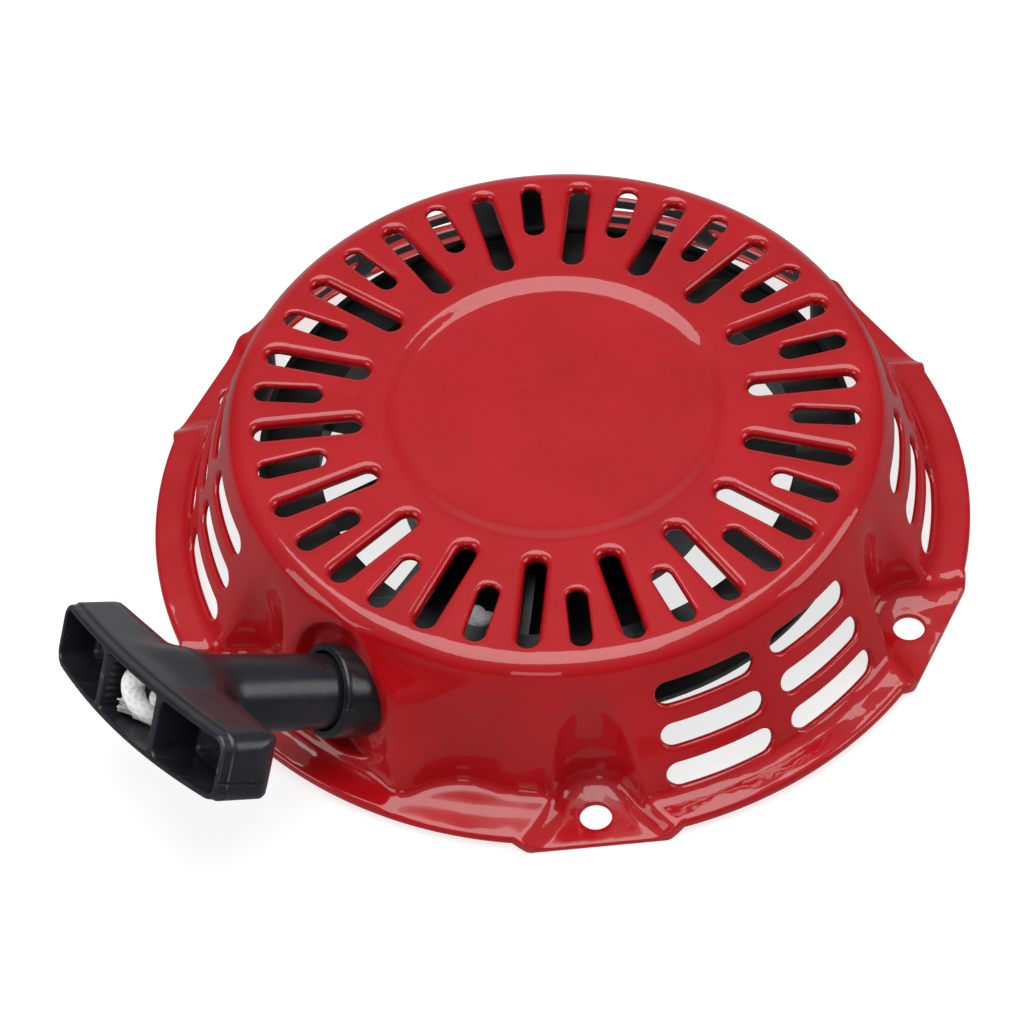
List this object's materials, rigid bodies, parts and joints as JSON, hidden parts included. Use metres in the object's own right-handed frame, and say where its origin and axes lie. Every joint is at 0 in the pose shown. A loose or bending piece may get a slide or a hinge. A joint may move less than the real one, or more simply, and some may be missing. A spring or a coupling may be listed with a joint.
{
  "type": "recoil starter",
  "caption": "Pull-rope recoil starter for a small engine: vented pressed housing on a six-tab flange, sprung rope reel with swinging ratchets, T grip.",
  "frame": {"origin": "centre of the bolt circle, on the mounting plane under the six tabs", "axes": "+Z along the reel's axis, out of the housing's top; -Y through the tab nearest the viewer; the rope leaves towards -X"},
  "size_m": [0.252, 0.2461, 0.0759],
  "materials": {
    "red_paint": "glossy stoved red paint on pressed steel",
    "guide_plastic": "semi-matt moulded black plastic",
    "grip_plastic": "semi-matt moulded black plastic with a fine grain",
    "reel_plastic": "smooth black moulding",
    "zinc_steel": "bright zinc plate",
    "spring_steel": "blued spring steel",
    "pawl_steel": "yellow zinc plate",
    "rope": "white braided polyester"
  },
  "bodies": {
    "frame": {"housing": "red_paint", "centre_post": "zinc_steel", "rope_guide": "guide_plastic", "guide_retainer": "zinc_steel", "hub_washer": "zinc_steel", "centre_screw": "zinc_steel", "friction_spring": "spring_steel", "recoil_spring": "spring_steel", "rope_lead": "rope"},
    "reel": {"reel": "reel_plastic", "spring_cover": "zinc_steel", "rope_coil": "rope", "reel_knot": "rope", "ratchet_pin_a": "zinc_steel", "ratchet_pin_b": "zinc_steel", "ratchet_spring_a": "spring_steel", "ratchet_spring_b": "spring_steel"},
    "guide": {"ratchet_guide": "guide_plastic"},
    "pawl_a": {"ratchet_a": "pawl_steel"},
    "pawl_b": {"ratchet_b": "pawl_steel"},
    "grip": {"handle": "grip_plastic", "handle_washer": "zinc_steel", "rope_tail": "rope", "rope_knot": "rope"}
  },
  "joints": [
    {"name": "handle_pull", "type": "slide", "parent": "frame", "child": "grip", "axis": [-0.8258, -0.3006, 0.4772], "range_m": [0, 1.2], "stiffness_N_per_m": 12, "springref_m": -0.5},
    {"name": "reel_spin", "type": "hinge", "parent": "frame", "child": "reel", "pos_m": [0, 0, 0.022], "axis": [0, 0, 1], "range_deg": [-905, 0], "deforming": ["recoil_spring"]},
    {"name": "guide_turn", "type": "hinge", "parent": "reel", "child": "guide", "pos_m": [0, 0, 0.006], "axis": [0, 0, 1], "range_deg": [0, 25], "stiffness_Nm_per_rad": 0.02, "springref_deg": -11.46},
    {"name": "ratchet_a_swing", "type": "hinge", "parent": "reel", "child": "pawl_a", "pos_m": [0.024, 0, 0.01], "axis": [0, 0, 1], "range_deg": [0, 30.2]},
    {"name": "ratchet_b_swing", "type": "hinge", "parent": "reel", "child": "pawl_b", "pos_m": [-0.024, 0, 0.01], "axis": [0, 0, 1], "range_deg": [0, 30.2]}
  ],
  "couplings": [
    {"joint": "reel_spin", "follows": "handle_pull", "rad_per_m": -13.09},
    {"joint": "ratchet_a_swing", "follows": "guide_turn", "ratio": 1.2},
    {"joint": "ratchet_b_swing", "follows": "guide_turn", "ratio": 1.2}
  ]
}
